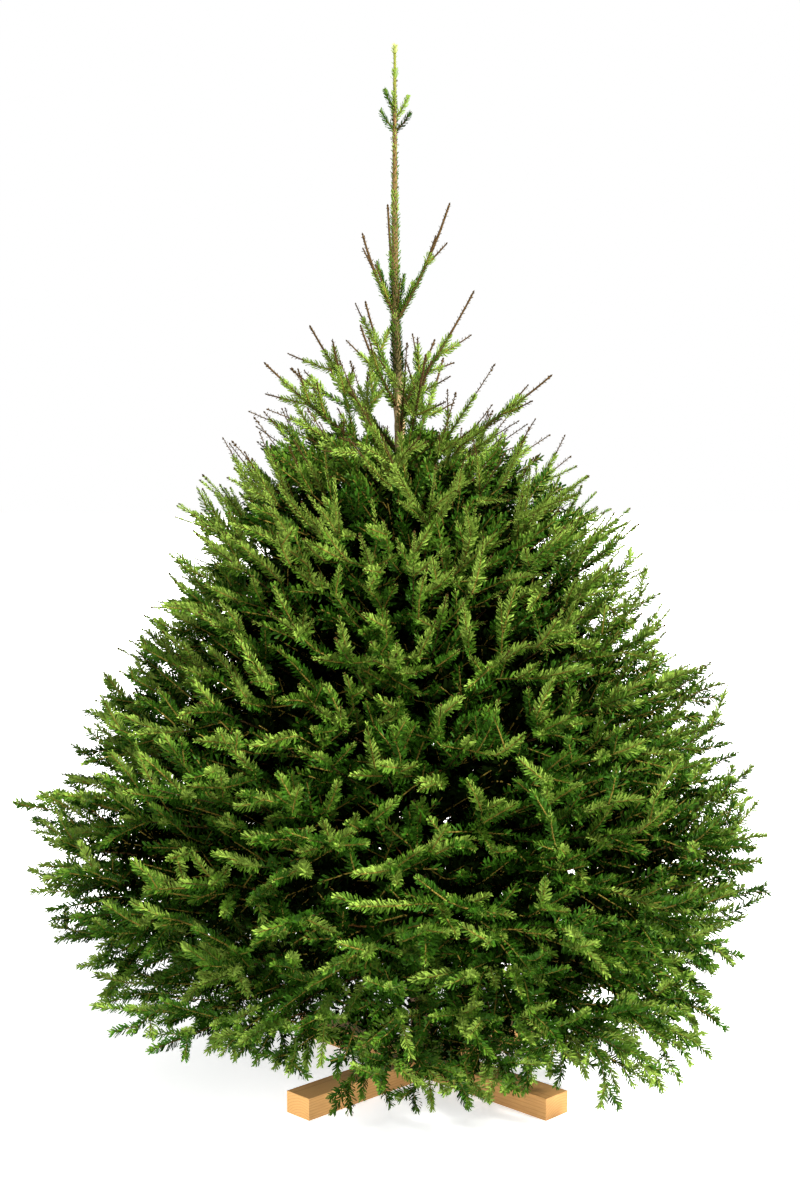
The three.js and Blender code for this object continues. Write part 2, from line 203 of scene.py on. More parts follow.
# sprigs that hang in front of the cross: azimuth, reach and height of the tip
SPRIGS = (
    (-163, 0.60, 0.215), (-156, 0.56, 0.195), (-149, 0.53, 0.180),
    (-142, 0.48, 0.165), (-135, 0.52, 0.180), (-131, 0.43, 0.145),
    (-126, 0.50, 0.160), (-121, 0.41, 0.140), (-117, 0.46, 0.150),
    (-112, 0.42, 0.130), (-108, 0.37, 0.080), (-101, 0.43, 0.120),
    (-89, 0.35, 0.060), (-84, 0.36, 0.105), (-77, 0.45, 0.155),
    (-60, 0.42, 0.130), (-53, 0.45, 0.120), (-47, 0.48, 0.092),
    (-42, 0.52, 0.100), (-30, 0.54, 0.110), (-20, 0.52, 0.150),
)
SPRIG_REACH = 0.14
SPRIG_DROP = 0.09
SPRIG_SEARCH = 0.2
SPRIG_BEND = (0.05, 0.02)
SPRIG_GROWTH = 0.06

# needles: length, width, spacing along the twig, and how far they lean from it at its foot and tip.
# They are shorter towards both ends of a twig.
NEEDLE_STYLES = {
    "full": (0.0146, 0.0033, 0.00093, 58, 30),
    "half": (0.0170, 0.0046, 0.0023, 64, 36),
    "inner": (0.0250, 0.0090, 0.0052, 66, 45),
    "core": (0.0330, 0.0135, 0.0085, 66, 50),
    "upright": (0.0122, 0.0028, 0.00082, 46, 28),
    "short": (0.0095, 0.0024, 0.00085, 38, 26),
    "thin": (0.0074, 0.0020, 0.00130, 30, 20),
    "peg": (0.0055, 0.0017, 0.0028, 52, 40),
    "cladding": (0.0105, 0.0020, 0.00055, 30, 24),
}
ROUND_STYLES = ("upright", "short", "thin", "peg", "cladding")
PLAIN_STYLES = ("half", "inner", "core", "thin", "peg")
CLOSE_STYLES = ("short", "thin", "peg", "cladding")
LEAST_NEEDLES = 6
PLACE_SPREAD = (0.2, 0.8)
TIP_CROWDING = 0.85
SECTORS = (0.1, math.pi - 0.1, 0.35 * math.pi, 0.65 * math.pi, 1.5 * math.pi)
SECTOR_SPREAD = 0.4
ROUND_TURN = 2.4
LEAN_SPREAD = 0.10
SIZE_SPREAD = (0.85, 1.15)
SWELL_LEAST = 0.72
SWELL_RISE = 0.28
SWELL_STRETCH = 0.9
SWELL_START = 0.12
SUNK_FOOT = 0.85
FOOT_WIDTH = 0.6
TIP_WIDTH = 0.3
EDGE_PLACES = (0.10, 0.80)
FOLD = 0.34
MOST_TRIANGLES = 190_000
TOP_BANDS = 8

# greens from the darkest to the lightest (shade, the darkest, is painted shade for the crown's inside),
# then the brown of scale-like needles, and what each turns to at a fresh end and, as painted shade,
# on an underside
NEEDLE_COLOURS = {
    "shade": (6, 13, 2),
    "deep": (17, 38, 4),
    "leaf": (34, 66, 7),
    "olive": (61, 89, 20),
    "fresh": (101, 124, 46),
    "tip": (146, 156, 88),
    "peg": (50, 44, 18),
}
TINTS = list(NEEDLE_COLOURS)
MATT_TINTS = ("shade", "deep")
LIGHTER = [TINTS.index(name) for name in ("shade", "leaf", "olive", "fresh", "tip", "tip", "peg")]
# the tint one step darker, which needles on a shoot's underside get as painted shade
UNDERSIDE_SHADE_TINTS = [TINTS.index(name) for name in ("shade", "shade", "deep", "leaf", "olive", "fresh", "peg")]
UNDERSIDE = -0.25
FRESH_SHARE = 0.76

# the greens dealt to shoots of 0, 1, 2 and more years, each up to its share of the chances
TINT_SHARES = (
    (("leaf", 0.43), ("olive", 0.74), ("fresh", math.inf)),
    (("deep", 0.2), ("leaf", 0.75), ("olive", math.inf)),
    (("deep", 0.5), ("leaf", math.inf)),
    (("deep", 1.0), ("leaf", math.inf)),
)
BARK_COLOURS = {
    "young": (100, 86, 36),
    "tip": (50, 44, 10),
    "ruddy": (58, 42, 20),
    "brown": (82, 56, 26),
    # old: partly the darker bark of old twigs, partly painted shade of the crown's inside
    "old": (26, 19, 10),
}
BARKS = list(BARK_COLOURS)
BARKS_BY_AGE = ("young", "young", "brown", "old")

# bark as tubes: sides, length of a step and relief
WHORL_BARK = (8, 0.012, 0.28)
FILL_BARK = (5, 0.045, 0.2)
SPIRE_BARK = (7, 0.008, 0.18)

# buds: lengths of the end bud and of those beside it, and the places and angles of the latter
BUD_LENGTH = 0.0054
SIDE_BUD_LENGTH = 0.0042
SIDE_BUD_PLACES = (0.003, 0.010)
SIDE_BUD_SPREAD = 60
SIDE_BUD_LEAN = 0.9
BUD_SIDES = 4
BUD_RADIUS = 0.42
BUD_WIDEST = 0.4
BUD_SUNK = 0.001

# the leader: its small shoots (azimuth, reach, heights of foot and tip), needles and single buds
LEADER_SHOOTS = (
    (190, 0.034, 1.465, 1.550, "short", "leaf"),
    (-60, 0.020, 1.440, 1.515, "peg", "olive"),
    (-30, 0.040, 1.450, 1.512, "short", "olive"),
    (60, 0.034, 1.445, 1.530, "short", "leaf"),
    (180, 0.018, 1.826, 1.866, "short", "leaf"),
    (20, 0.026, 1.812, 1.856, "short", "fresh"),
    (200, 0.027, 1.790, 1.826, "short", "leaf"),
    (-20, 0.030, 1.790, 1.822, "short", "deep"),
    (-95, 0.020, 1.822, 1.858, "short", "fresh"),
    (95, 0.024, 1.800, 1.842, "short", "leaf"),
)
LEADER_NEEDLES = (
    (1.325, 1.400, "upright", "deep"),
    (1.335, 1.440, "cladding", "deep"),
    (1.400, 1.455, "cladding", "olive"),
    (1.450, 1.540, "cladding", "leaf"),
    (1.500, 1.680, "short", "olive"),
    (1.600, 1.800, "thin", "olive"),
    (1.660, 1.885, "peg", "peg"),
    (1.700, 1.885, "peg", "olive"),
    (1.884, 1.902, "cladding", "fresh"),
    (1.905, 1.936, "peg", "fresh"),
    (1.930, 1.945, "cladding", "tip"),
)
LEADER_BUDS = ((185, 1.714), (-20, 1.688), (-60, 1.648), (10, 1.6), (170, 1.64), (0, 1.882), (180, 1.895))
LEADER_SHOOT_RADII = (0.0022, 0.0014)
LEADER_SHOOT_BEND = 0.15
LEADER_SHOOT_BUD = 0.8
LEADER_BUD = 0.7

# ---- small tools ----


def lerp(a, b, share):
    return a + (b - a) * share


def by_height(values, z):
    return float(np.interp(z, HABIT_HEIGHTS, values))


def outward(azimuth):
    return Vector((math.cos(azimuth), math.sin(azimuth), 0))


def unit_rows(array):
    return array / np.maximum(np.linalg.norm(array, axis=1, keepdims=True), 1e-9)


def turned(vector, axis, degrees):
    return Quaternion(axis, math.radians(degrees)) @ vector


def sideways(heading, up, angle, roll):
    """A heading turned in its spray's plane, and then about the limb."""
    return turned(turned(heading, up, angle), heading, roll)


def scattered():
    return Vector((dice.gauss(0, 1), dice.gauss(0, 1), dice.gauss(0, 1)))


def vertices_of(name):
    mesh = NODES[name].data
    flat = np.empty(3 * len(mesh.vertices))
    mesh.vertices.foreach_get("co", flat)
    return flat.reshape(-1, 3)


def named(start):
    return sorted(name for name in NODES if name.startswith(start))


class Rooms:
    """Points kept in a grid of cubes, so that those near a place are found at once."""

    def __init__(self, cell):
        self.cell = cell
        self.cubes = {}

    def cube(self, point):
        return tuple(math.floor(value / self.cell) for value in point)

    def add(self, point, item=None):
        self.cubes.setdefault(self.cube(point), []).append((point, item))

    def near(self, point, radius):
        x, y, z = self.cube(point)
        steps = math.ceil(radius / self.cell)
        span = range(-steps, steps + 1)
        found = []
        for i, j, k in product(span, repeat=3):
            for place, item in self.cubes.get((x + i, y + j, z + k), ()):
                if (place - point).length < radius:
                    found.append((place, item))
        return found


# ---- what the frame holds: the trunk's axis and the crown's bounds ----


def measure_trunk():
    """Heights, centres and radii of the trunk's rings, above its shoulder on the cross."""
    points = vertices_of("trunk")
    top_of_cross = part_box("stand_beam_upper")[1][2]
    heights = np.unique(np.round(points[:, 2], 4))
    heights = heights[heights > top_of_cross]
    centres = []
    radii = []
    for z in heights:
        ring = points[np.abs(points[:, 2] - z) < 1e-4]
        centre = ring.mean(axis=0)
        centres.append(centre[:2])
        radii.append(np.linalg.norm(ring[:, :2] - centre[:2], axis=1).mean())
    return heights, np.array(centres), np.array(radii)


TRUNK_HEIGHTS, TRUNK_CENTRES, TRUNK_RADII = measure_trunk()
TREE_TOP = float(TRUNK_HEIGHTS[-1])


def trunk_point(z):
    x = np.interp(z, TRUNK_HEIGHTS, TRUNK_CENTRES[:, 0])
    y = np.interp(z, TRUNK_HEIGHTS, TRUNK_CENTRES[:, 1])
    return Vector((x, y, z))


def trunk_radius(z):
    return float(np.interp(z, TRUNK_HEIGHTS, TRUNK_RADII))


def from_trunk(point):
    """The distance of a point from the trunk's axis, and its azimuth."""
    away = Vector(point) - trunk_point(point[2])
    return math.hypot(away.x, away.y), math.atan2(away.y, away.x)


TIERS = ("skirt", "lower", "middle", "upper")


def crown_tree():
    """All masses of the dense tiers as one search tree."""
    points = []
    faces = []
    for tier in TIERS:
        for name in named(f"foliage_{tier}_"):
            mesh = NODES[name].data
            first = len(points)
            points.extend(v.co.copy() for v in mesh.vertices)
            faces.extend([first + i for i in p.vertices] for p in mesh.polygons)
    return BVHTree.FromPolygons(points, faces)


CROWN = crown_tree()


def lump(azimuth, z):
    """How far the outline stands out, or in where it is less than zero, at an azimuth and a height."""
    around = outward(azimuth) * (MEAN_REACH / LUMP_WIDTH)
    height = noise.noise(around + UP * (z / LUMP_HEIGHT))
    lumps = LUMP_DEPTH * height * (LUMP_OUTWARD_SHARE if height > 0 else 1)
    return lumps + by_height(SWELLINGS, z) + LEAN * math.cos(azimuth)


def low_edge(azimuth):
    return LOW_EDGE + LOW_EDGE_RISE * max(0.0, math.cos(azimuth - LOW_EDGE_SIDE))


def is_below(point, azimuth):
    """Whether a place is under the crown, whose underside rises outwards."""
    beyond = max(0.0, math.hypot(point.x, point.y) - UNDERSIDE_REACH)
    return point.z < low_edge(azimuth) + UNDERSIDE_SLOPE * beyond


def spire_reach(z):
    return float(np.interp(z, SPIRE_HEIGHTS, SPIRE_REACHES))


def outline_point(azimuth, z):
    """Where the crown's outline is, at an azimuth and a height, or None."""
    if z < low_edge(azimuth):
        return None
    axis = trunk_point(z)
    side = outward(azimuth)
    if z > SPIRE_FOOT:
        return axis + side * (spire_reach(z) + lump(azimuth, z))
    place = CROWN.ray_cast(axis + side * OUTSIDE, -side)[0]
    if place is None or is_below(place, azimuth):
        return None
    return place + side * lump(azimuth, z)


def shell_tree():
    """The crown's outline as a search tree of points."""
    places = []
    for step in range(SHELL_AZIMUTHS):
        azimuth = math.radians(360 / SHELL_AZIMUTHS * step)
        for z in np.arange(*SHELL_HEIGHTS):
            place = outline_point(azimuth, float(z))
            if place is not None:
                places.append(place)
        side = outward(azimuth)
        rise = UP * low_edge(azimuth)
        places += [side * reach + rise for reach in UNDERSIDE_REACHES]
    tree = KDTree(len(places))
    for index, place in enumerate(places):
        tree.insert(place, index)
    tree.balance()
    return tree


SHELL = shell_tree()


def depth_in_crown(point):
    """How far a place is behind the outline. Above the dense tiers and under them all is outside."""
    return SHELL.find(point)[2] if LOW_EDGE < point.z < OPEN_HEIGHT else 0.0


def leaves_crown(point):
    reach, azimuth = from_trunk(point)
    allowed = OVERHANG + lump(azimuth, point.z)
    if point.z > SPIRE_FOOT:
        return reach > spire_reach(point.z) + allowed or point.z > SPIRE_HEIGHTS[-1]
    if reach < HOLLOW_RADIUS:
        return False
    if is_below(point, azimuth):
        return True
    place, normal, _, distance = CROWN.find_nearest(point)
    is_outside = (point - place).dot(normal) > 0
    return (distance if is_outside else -distance) > allowed


# ---- growth ----


# One year's growth of a limb: a bent line with needles, and with wood unless a bough is there.
Twig = namedtuple("Twig", "start bend end up radii age needles tint bark")


class Habit:
    """How a limb grows: its yearly growth and turn upwards, and its side shoots' angle and roll."""

    wander = 0.07
    upper_chance = 0.3
    is_bounded = True
    tip_radius = 0.0012

    def __init__(self, z, **changes):
        for name, values in HABITS.items():
            setattr(self, name, by_height(values, z))
        self.roll = float(np.interp(z, LIGHT_HEIGHTS, SIDE_ROLLS))
        self.needles = "upright" if z > UPRIGHT_HEIGHT else "full"
        self.tip_needles = "peg" if z > PEG_HEIGHT else "thin"
        vars(self).update(changes)


twigs = []
buds = []
middles = Rooms(cell=0.04)
nodes = Rooms(cell=0.06)
tips = Rooms(cell=0.05)


def split(start, bend, end, share):
    """A bent line cut in two at a share of its length."""
    first_bend = lerp(start, bend, share)
    second_bend = lerp(bend, end, share)
    middle = lerp(first_bend, second_bend, share)
    return (start, first_bend, middle), (middle, second_bend, end)


def plane_normal(heading, roll):
    """The upper side of a limb's spray, rolled about the limb."""
    level = UP - heading * heading.dot(UP)
    if level.length < NEARLY_UPRIGHT:
        level = heading.orthogonal()
    return turned(level.normalized(), heading, roll)


def pick_tint(age, depth, style, z):
    """Which green a shoot gets: fresh outside, deeper with age, lighter at the top as painted light,
    and darker under the outline as painted shade.
    """
    chance = dice.random() + float(np.interp(z, LIGHT_HEIGHTS, TOP_PAINTED_LIGHT))
    if style == "peg":
        return "peg"
    # deep inside the crown the darkest green, and under the shell at least the greens of two years: painted
    # shade
    if depth > INNER_DEPTH:
        return "shade"
    row = max(age, 2) if depth > SHELL_DEPTH else age
    return next(tint for tint, most in TINT_SHARES[min(row, 3)] if chance < most)


def pick_bark(age, style):
    if style == "peg":
        return "ruddy"
    if style == "thin":
        return "tip"
    return BARKS_BY_AGE[min(age, len(BARKS_BY_AGE) - 1)]


def needle_style(depth, style):
    # Under the shell the needles grow coarser; with their dark greens they fill the inside as painted
    # shade.
    if depth < SHELL_DEPTH or style in CLOSE_STYLES:
        return style
    if depth < INNER_DEPTH:
        return "half"
    return "inner" if depth < CORE_DEPTH else "core"


def add_twig(start, bend, end, up, age, style, radii=None, is_bough=False):
    """A twig with its needles, and its bark unless it is part of a bough."""
    depth = depth_in_crown(bend)
    thin = TWIG_TIP_RADIUS + TWIG_YEARLY_RADIUS * age
    radii = radii or (thin + TWIG_YEARLY_RADIUS, thin)
    style = needle_style(depth, style)
    bark = None if is_bough else pick_bark(age, style)
    twigs.append(Twig(start, bend, end, up, radii, age, style, pick_tint(age, depth, style, bend.z), bark))
    middles.add(bend)
    heading = (end - bend).normalized()
    nodes.add(end, (heading, up))
    nodes.add(bend, (heading, up))
    if age == 0:
        tips.add(end)


def is_crowded(point):
    """Whether the shoots near a place already take its light."""
    depth = depth_in_crown(point)
    radius, most = next((radius, most) for limit, radius, most in CROWDS if depth < limit)
    if depth < SHELL_DEPTH and point.z > UPPER_HEIGHT:
        most += 1
    return len(middles.near(point, radius)) > most


def tip_twigs(start, bend, end, up, habit, size=1.0, core=None):
    """A limb's newest shoot, whose outer part is nearly bare and ends in buds on upright limbs."""
    if habit.bare_share < LEAST_BARE_SHARE:
        add_twig(start, bend, end, up, 0, habit.needles, core, core is not None)
        return
    bare = min(MOST_BARE, size * habit.bare_share * dice.uniform(*BARE_SPREAD))
    leafy, bare = split(start, bend, end, 1 - bare)
    thick = habit.tip_radius
    add_twig(*leafy, up, 0, habit.needles, core or (LEAFY_WIDENING * thick, thick), core is not None)
    add_twig(*bare, up, 0, habit.tip_needles, (thick, BARE_TAPER * thick), core is not None)
    if habit.bare_share > BUDDING_SHARE:
        buds.append((end, (end - bend).normalized(), size))


def grow(start, heading, up, years, growth, habit, order):
    """One limb of several years, the newest last, with the side shoots of every year's node."""
    place = start
    for year in range(years):
        age = years - 1 - year
        step = growth * dice.uniform(*GROWTH_SPREAD)
        ahead = (heading + UP * habit.lift + scattered() * habit.wander).normalized()
        bend = place + heading * (step / 2)
        end = bend + ahead * (step / 2)
        if end.z < FLOOR_GAP or (order > 1 and is_crowded(bend)):
            return
        if habit.is_bounded and leaves_crown(end):
            if not leaves_crown(bend):
                tip_twigs(place, bend, lerp(bend, end, 0.5), up, habit, SMALL_SIZE)
            return
        if age:
            add_twig(place, bend, end, up, age, habit.needles)
            side_shoots(end, ahead, up, age, growth, habit, order)
            if order < SMALL_ORDER:
                shoots_between(place, end, ahead, up, growth, habit)
        else:
            tip_twigs(place, bend, end, up, habit, 1.0 if order < SMALL_ORDER else SMALL_SIZE)
        place = end
        heading = ahead


def side_shoots(node, heading, up, age, growth, habit, order):
    """The pair of side limbs at a year's node, and now and then a third one on top."""
    years = min(SIDE_YEARS.get(order, 1), age)
    for side in (-1, 1):
        if dice.random() < MISSING_CHANCE:
            continue
        angle = side * habit.angle * dice.uniform(*ANGLE_SPREAD)
        roll = dice.uniform(-habit.roll, habit.roll)
        normal = turned(up, heading, roll * ROLL_KEPT)
        direction = sideways(heading, up, angle, roll)
        grow(node, direction, normal, years, growth * habit.share, habit, order + 1)
    if dice.random() < habit.upper_chance:
        across = heading.cross(up).normalized()
        angle = dice.uniform(*UPPER_ANGLES)
        direction = sideways(heading, across, angle, dice.uniform(-UPPER_ROLL, UPPER_ROLL))
        grow(node, direction, up, 1, growth * habit.share * UPPER_SHARE, habit, SMALL_ORDER)


def shoots_between(start, end, heading, up, growth, habit):
    """The short single shoots between two nodes."""
    for share in BETWEEN_PLACES:
        if dice.random() > habit.between_chance:
            continue
        side = dice.choice((-1, 1))
        angle = side * habit.angle * dice.uniform(*BETWEEN_ANGLE_SPREAD)
        roll = dice.uniform(-BETWEEN_ROLL, BETWEEN_ROLL)
        length = growth * dice.uniform(*BETWEEN_LENGTHS)
        direction = sideways(heading, up, angle, roll)
        grow(lerp(start, end, share), direction, up, 1, length, habit, SMALL_ORDER + 1)


class Bough(namedtuple("Bough", "foot control tip foot_radius tip_radius", defaults=(0.0008,))):
    """A limb from the trunk to the crown's outline."""

    def point(self, t):
        return self.foot * (1 - t) ** 2 + self.control * (2 * t * (1 - t)) + self.tip * t ** 2

    def heading(self, t):
        return ((self.control - self.foot) * (1 - t) + (self.tip - self.control) * t).normalized()

    def length(self):
        points = [self.point(i / 12) for i in range(13)]
        return sum((b - a).length for a, b in zip(points, points[1:]))

    def radius(self, t):
        return lerp(self.tip_radius, self.foot_radius, (1 - t) ** BOUGH_TAPER)


def grow_bough(bough, habit, needled_years=5, branching_years=5):
    """Needles on a bough's outer years, and its side limbs."""
    years = max(2, round(bough.length() / habit.growth))
    roll = dice.uniform(-BOUGH_ROLL, BOUGH_ROLL)
    for age in range(min(years, max(needled_years, branching_years + 1))):
        year = years - 1 - age
        t0 = year / years
        t1 = (year + 1) / years
        start = bough.point(t0)
        end = bough.point(t1)
        heading = bough.heading(t1)
        up = plane_normal(heading, roll + dice.uniform(-YEARLY_ROLL, YEARLY_ROLL))
        bend = bough.point((t0 + t1) / 2) * 2 - (start + end) / 2
        core = (bough.radius(t0), bough.radius(t1))
        if age == 0:
            tip_twigs(start, bend, end, up, habit, BOUGH_TIP_SIZE, core)
        elif age < needled_years:
            add_twig(start, bend, end, up, age, habit.needles, core, True)
        if 0 < age <= branching_years:
            side_shoots(end, heading, up, age, habit.growth, habit, 1)
            shoots_between(start, end, heading, up, habit.growth, habit)


# ---- the boughs of the dense tiers ----


def limb_ends(points):
    """The middle of a limb's foot, at the trunk, and of its far end."""
    distances = np.array([from_trunk(p)[0] for p in points])
    near = points[distances < distances.min() + FOOT_SLICE].mean(axis=0)
    far = points[distances > distances.max() - TIP_SLICE].mean(axis=0)
    return Vector(near), Vector(far)


def whorl_boughs():
    """The boughs that the frame holds, each drawn on to the outline of its mass."""
    boughs = []
    for tier in TIERS:
        for name in named(f"bough_{tier}_"):
            near, far = limb_ends(vertices_of(name))
            foot = trunk_point(near.z - LEAST_SAG)
            heading = (far - foot).normalized()
            tip = CROWN.ray_cast(far + heading * OUTSIDE, -heading)[0]
            sag = by_height(HABITS["lift"], tip.z) * from_trunk(tip)[0] * WHORL_SAG
            control = lerp(foot, tip, 0.5) - UP * sag
            boughs.append(Bough(foot, control, tip, WHORL_RADIUS))
    return boughs


def fill_boughs(boughs):
    """More boughs from the trunk between the whorls, their tips spread evenly over the outline."""
    ends = [bough.tip for bough in boughs]
    low, high = TIP_HEIGHTS
    while len(boughs) < BOUGH_COUNT:
        drawn = [outline_point(dice.uniform(-math.pi, math.pi), lerp(low, high, dice.random() ** TIP_BIAS))
                 for _ in range(CANDIDATES)]
        tip = max((place for place in drawn if place is not None),
                  key=lambda place: min((place - other).length for other in ends))
        ends.append(tip)
        reach = from_trunk(tip)[0]
        slope = math.radians(by_height(BOUGH_SLOPES, tip.z) + dice.uniform(-SLOPE_SPREAD, SLOPE_SPREAD))
        foot = trunk_point(max(LOWEST_FOOT, tip.z - reach * math.tan(slope)))
        sag = UP * (FILL_SAG * by_height(HABITS["lift"], tip.z) + LEAST_SAG) * reach
        boughs.append(Bough(foot, lerp(foot, tip, 0.5) - sag, tip, dice.uniform(*FILL_RADII)))
    return boughs


def shoot_direction(azimuth, z):
    """Where most shoots near the outline point, at an azimuth and a height."""
    slope = math.radians(by_height(SHOOT_SLOPES, z))
    return outward(azimuth) * math.cos(slope) + UP * math.sin(slope)


def nearest_node(target, aim, least_aimed):
    """The node that a shoot to a target can best start from: behind it, and on a limb that leads to it."""
    best = None
    wanted = by_height(GAP_LENGTHS, target.z)
    for place, (heading, up) in nodes.near(target, by_height(GAP_REACHES, target.z)):
        way = target - place
        length = way.length
        if length < LEAST_LENGTH:
            continue
        way /= length
        forward = way.dot(heading)
        aimed = way.dot(aim)
        if forward < LEAST_FORWARD or aimed < least_aimed:
            continue
        cost = abs(length - wanted) - FORWARD_WORTH * forward - AIM_WORTH * aimed
        if best is None or cost < best[0]:
            best = (cost, place, heading, up, way, length)
    return best and best[1:]


def draw_outline(draws, heights):
    """Random places of the outline, with their azimuth and height."""
    for _ in range(draws):
        azimuth = dice.uniform(-math.pi, math.pi)
        z = dice.uniform(*heights)
        rim = outline_point(azimuth, z)
        if rim is not None:
            yield azimuth, z, rim


def fill_gaps():
    """Shoots from the nearest nodes to the places of the outline that no tip has reached."""
    for azimuth, z, rim in draw_outline(GAP_DRAWS, GAP_HEIGHTS):
        depths = SPIKE_DEPTHS if dice.random() < SPIKE_CHANCE else GAP_DEPTHS
        target = rim - outward(azimuth) * dice.uniform(*depths)
        if tips.near(target, by_height(GAPS, z)):
            continue
        found = nearest_node(target, shoot_direction(azimuth, z), GAP_AIM)
        if not found:
            continue
        place, heading, up, way, length = found
        habit = Habit(z, is_bounded=z < UPPER_HEIGHT)
        bend = place + (heading * GAP_BEND + way).normalized() * (length / 2)
        if length < ONE_YEAR_REACH * habit.growth:
            tip_twigs(place, bend, target, up, habit)
            if dice.random() < BRANCHED_CHANCE:
                shoots_between(place, target, way, up, GAP_BETWEEN_GROWTH, habit)
        else:
            older, newest = split(place, bend, target, 0.5)
            add_twig(*older, up, 1, habit.needles)
            tip_twigs(*newest, up, habit)
            side_shoots(newest[0], way, up, 1, GAP_SIDE_GROWTH, habit, SMALL_ORDER)


def fill_inside():
    """Shoots to the places under the outline that no other shoot has reached."""
    for azimuth, z, rim in draw_outline(INSIDE_DRAWS, INSIDE_HEIGHTS):
        target = rim - outward(azimuth) * dice.uniform(*INSIDE_DEPTHS)
        reach = (target - trunk_point(z)).dot(outward(azimuth))
        if reach < INSIDE_REACH or middles.near(target, by_height(INSIDE_GAPS, z)):
            continue
        found = nearest_node(target, shoot_direction(azimuth, z), 0.0)
        if found:
            place, heading, up, way, length = found
            bend = place + (heading * INSIDE_BEND + way).normalized() * (length / 2)
            add_twig(place, bend, target, up, 1, "half")


def hang_sprigs():
    """Drooping sprigs under the crown's front, in front of the cross."""
    habit = Habit(LOW_EDGE, wander=0.05, is_bounded=False)
    for azimuth, reach, z in SPRIGS:
        side = outward(math.radians(azimuth))
        tip = side * reach + UP * z
        above = side * (reach - SPRIG_REACH) + UP * (z + SPRIG_DROP)
        near = nodes.near(above, SPRIG_SEARCH)
        start, (_, up) = min(near, key=lambda node: (node[0] - above).length)
        bend = lerp(start, tip, 0.5) + side * SPRIG_BEND[0] + UP * SPRIG_BEND[1]
        older, newest = split(start, bend, tip, 0.5)
        add_twig(*older, up, 1, "full")
        heading = (newest[2] - older[0]).normalized()
        side_shoots(newest[0], heading, up, 2, SPRIG_GROWTH, habit, SMALL_ORDER - 1)
        add_twig(*newest, up, 0, "full")


# ---- the open whorls at the top ----


def shoot_line(names):
    """The foot on the trunk's axis, the bend and the tip of a limb that the frame holds."""
    points = np.concatenate([vertices_of(name) for name in names])
    near, _ = limb_ends(points)
    foot = trunk_point(near.z)
    distances = np.linalg.norm(points - np.array(foot), axis=1)
    tip = Vector(points[distances > distances.max() - SHOOT_TIP_SLICE].mean(axis=0))
    halfway = np.abs(distances - distances.max() / 2) < SHOOT_MIDDLE_SLICE
    middle = Vector(points[halfway].mean(axis=0)) if halfway.any() else lerp(foot, tip, 0.5)
    return foot, middle * 2 - (foot + tip) / 2, tip


def open_whorls():
    """The limbs of the three whorls that stand free at the top."""
    free = {"is_bounded": False, "tip_needles": "peg"}
    spire = Habit(1.25, wander=0.05, upper_chance=0.5, tip_radius=0.0018, **free)
    crest = Habit(1.4, wander=0.05, upper_chance=0.4, tip_radius=0.0018, **free)
    crown = Habit(1.4, wander=0.04, upper_chance=0.0, tip_radius=0.0020, share=0.5, angle=24,
                  bare_share=0.7, needles="short", **free)
    whorls = {"bough_spire_": (spire, 0.0052), "shoot_crest_": (crest, 0.0042),
              "shoot_crown_": (crown, 0.0040)}
    limbs = []
    for start, (habit, foot_radius) in whorls.items():
        for name in named(start):
            both = sorted({name, name.replace("bough", "foliage")})
            limb = Bough(*shoot_line(both), foot_radius, habit.tip_radius)
            grow_bough(limb, habit)
            limbs.append(limb)
    return limbs


def leader_shoots():
    """The small shoots, needles and buds of the leader itself."""
    for azimuth, reach, foot_z, tip_z, style, tint in LEADER_SHOOTS:
        side = outward(math.radians(azimuth))
        start = trunk_point(foot_z)
        end = trunk_point(tip_z) + side * reach
        bend = lerp(start, end, 0.5) + side * (LEADER_SHOOT_BEND * reach)
        heading = (end - bend).normalized()
        up = plane_normal(heading, 0)
        twigs.append(Twig(start, bend, end, up, LEADER_SHOOT_RADII, 0, style, tint, "ruddy"))
        buds.append((end, heading, LEADER_SHOOT_BUD))
    for low, high, style, tint in LEADER_NEEDLES:
        start = trunk_point(low)
        end = trunk_point(high)
        core = (trunk_radius(low), trunk_radius(high))
        twigs.append(Twig(start, lerp(start, end, 0.5), end, Vector((1, 0, 0)), core, 0, style, tint, None))
    for azimuth, z in LEADER_BUDS:
        side = outward(math.radians(azimuth))
        buds.append((trunk_point(z) + side * trunk_radius(z), (side + UP).normalized(), LEADER_BUD))


# ---- meshes ----


def add_object(name, data):
    made = bpy.data.objects.new(name, data)
    bpy.context.scene.collection.objects.link(made)
    return made


def add_mesh(name, points, triangles, materials, choices=None):
    mesh = bpy.data.meshes.new(name)
    mesh.vertices.add(len(points))
    mesh.vertices.foreach_set("co", np.ascontiguousarray(points, np.float32).ravel())
    mesh.loops.add(3 * len(triangles))
    mesh.loops.foreach_set("vertex_index", np.ascontiguousarray(triangles, np.int32).ravel())
    mesh.polygons.add(len(triangles))
    mesh.polygons.foreach_set("loop_start", np.arange(0, 3 * len(triangles), 3, dtype=np.int32))
    for made in materials:
        mesh.materials.append(made)
    if choices is not None:
        mesh.polygons.foreach_set("material_index", np.ascontiguousarray(choices, np.int32))
    mesh.update(calc_edges=True)
    piece = add_object(name, mesh)
    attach(piece, "root")
    return piece


def bend_points(start, bend, end, t):
    """Points and unit tangents on many bent lines, at one share t for each row."""
    t = t[:, None]
    points = start * (1 - t) ** 2 + bend * (2 * t * (1 - t)) + end * t ** 2
    tangents = unit_rows((bend - start) * (1 - t) + (end - bend) * t + 1e-9)
    return points, tangents


def twig_arrays(chosen):
    """The starts, bends, ends, upper sides and radii of many twigs."""
    fields = ("start", "bend", "end", "up", "radii")
    return [np.array([getattr(twig, field) for twig in chosen]) for field in fields]


